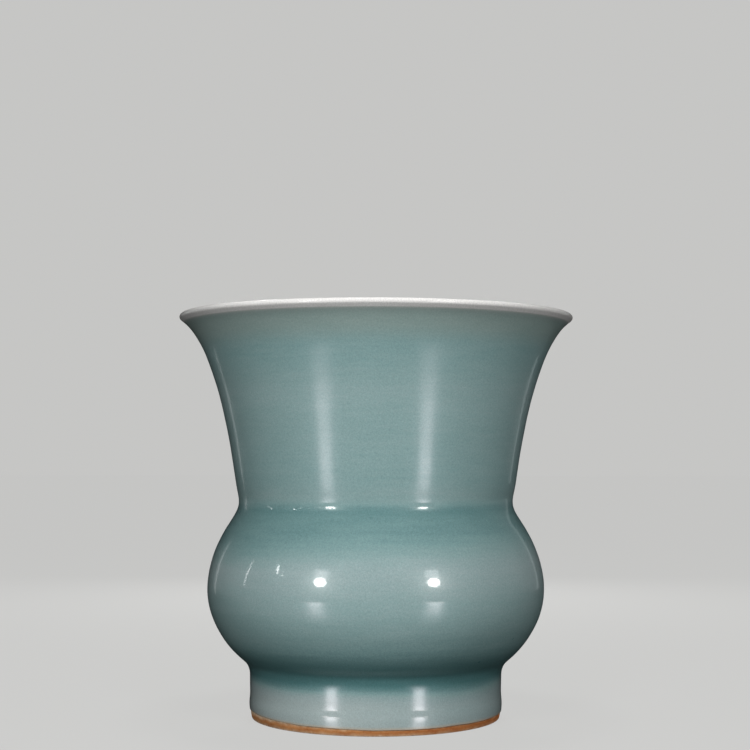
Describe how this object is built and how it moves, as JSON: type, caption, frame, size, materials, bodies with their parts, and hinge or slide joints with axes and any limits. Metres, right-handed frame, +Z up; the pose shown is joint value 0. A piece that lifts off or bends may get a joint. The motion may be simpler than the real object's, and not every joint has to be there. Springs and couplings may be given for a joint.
{
  "type": "zhadou vessel",
  "caption": "Ceramic zhadou with a wide trumpet neck, a globular belly and a straight foot ring, celadon glazed, for holding scraps, water or flowers.",
  "frame": {"origin": "centre of the foot ring's resting plane", "axes": "+Z up along the axis of turning, from the foot to the lip; the vessel is round, so +X and +Y are any two directions across it"},
  "size_m": [0.2368, 0.2368, 0.24],
  "materials": {
    "celadon_glaze": "glossy pale blue-green celadon, paler where thin and darker green where it pools",
    "porcelain_body": "fired white porcelain, matt",
    "flashed_foot": "bare fired clay of the foot edge, flashed orange-brown, matt",
    "luting_slip": "fired slip, matt"
  },
  "bodies": {
    "root": {"neck_section": "porcelain_body", "belly_section": "porcelain_body", "foot_ring": "flashed_foot", "waist_luting_slip": "luting_slip", "foot_luting_slip": "luting_slip", "exterior_glaze": "celadon_glaze", "interior_glaze": "celadon_glaze", "base_glaze": "celadon_glaze"}
  },
  "joints": []
}
